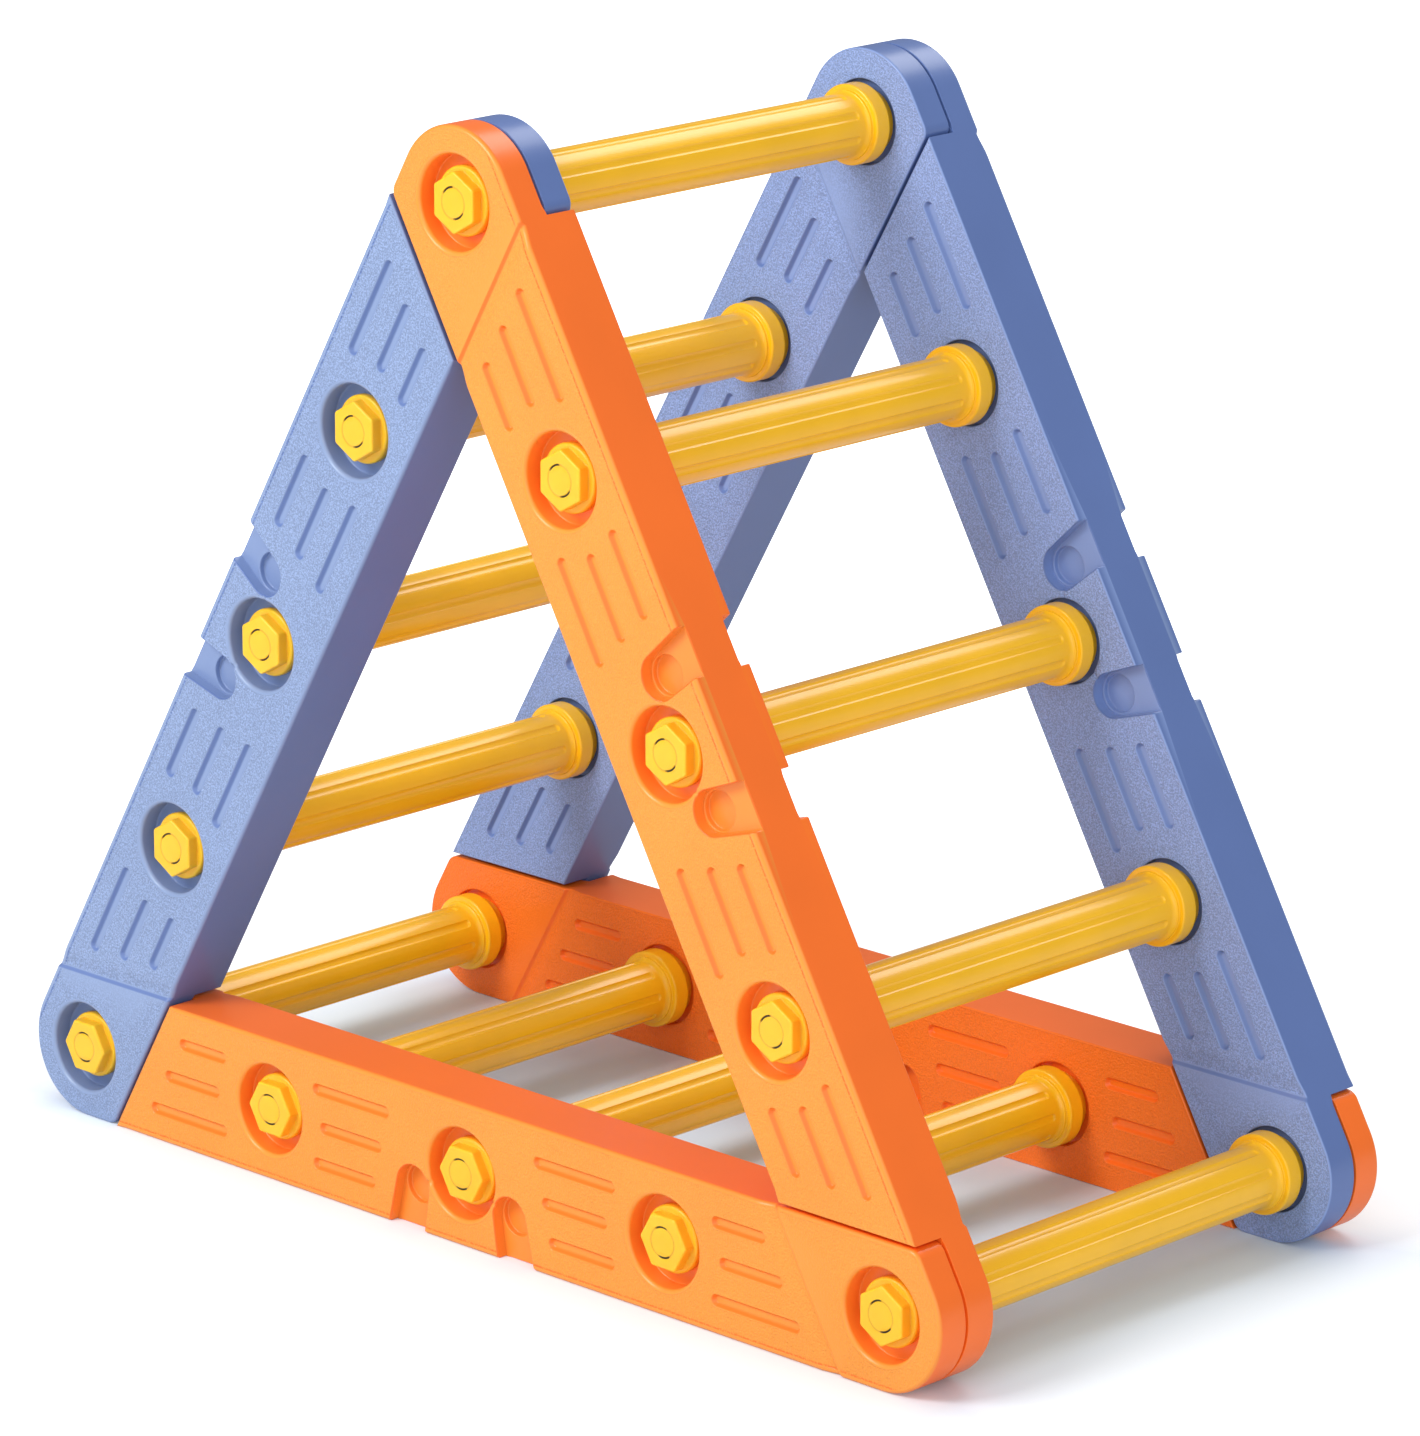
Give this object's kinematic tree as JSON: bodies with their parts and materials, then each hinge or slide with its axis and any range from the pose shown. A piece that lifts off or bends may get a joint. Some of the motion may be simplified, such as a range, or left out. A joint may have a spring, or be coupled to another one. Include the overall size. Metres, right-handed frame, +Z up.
{
  "type": "climbing frame",
  "caption": "Low triangular climbing frame for small children, with moulded plastic rails lapped and bolted at the corners and fluted grip rungs with round collars between them.",
  "frame": {"origin": "on the floor, under the middle of the frame", "axes": "+X along the base to the right, +Y from the front side frame to the rear one, along the rungs, +Z up"},
  "size_m": [0.68, 0.345, 0.5996],
  "materials": {
    "orange_rail": "fine pebbled grain on the faces, smooth satin on the edges",
    "blue_rail": "fine pebbled grain on the faces, smooth satin on the edges",
    "rung": "smooth, fairly glossy",
    "bolt": "smooth satin"
  },
  "bodies": {
    "root": {"front_right_rail": "orange_rail", "front_base_rail": "orange_rail", "front_left_rail": "blue_rail", "rear_right_rail": "blue_rail", "rear_base_rail": "orange_rail", "rear_left_rail": "blue_rail", "apex_rung": "rung", "right_rung_upper": "rung", "right_rung_middle": "rung", "right_rung_lower": "rung", "right_corner_rung": "rung", "base_rung_right": "rung", "base_rung_middle": "rung", "base_rung_left": "rung", "left_corner_rung": "rung", "left_rung_lower": "rung", "left_rung_middle": "rung", "left_rung_upper": "rung", "front_bolt_apex_rung": "bolt", "front_bolt_right_rung_upper": "bolt", "front_bolt_right_rung_middle": "bolt", "front_bolt_right_rung_lower": "bolt", "front_bolt_right_corner_rung": "bolt", "front_bolt_base_rung_right": "bolt", "front_bolt_base_rung_middle": "bolt", "front_bolt_base_rung_left": "bolt", "front_bolt_left_corner_rung": "bolt", "front_bolt_left_rung_lower": "bolt", "front_bolt_left_rung_middle": "bolt", "front_bolt_left_rung_upper": "bolt", "rear_bolt_apex_rung": "bolt", "rear_bolt_right_rung_upper": "bolt", "rear_bolt_right_rung_middle": "bolt", "rear_bolt_right_rung_lower": "bolt", "rear_bolt_right_corner_rung": "bolt", "rear_bolt_base_rung_right": "bolt", "rear_bolt_base_rung_middle": "bolt", "rear_bolt_base_rung_left": "bolt", "rear_bolt_left_corner_rung": "bolt", "rear_bolt_left_rung_lower": "bolt", "rear_bolt_left_rung_middle": "bolt", "rear_bolt_left_rung_upper": "bolt"}
  },
  "joints": []
}
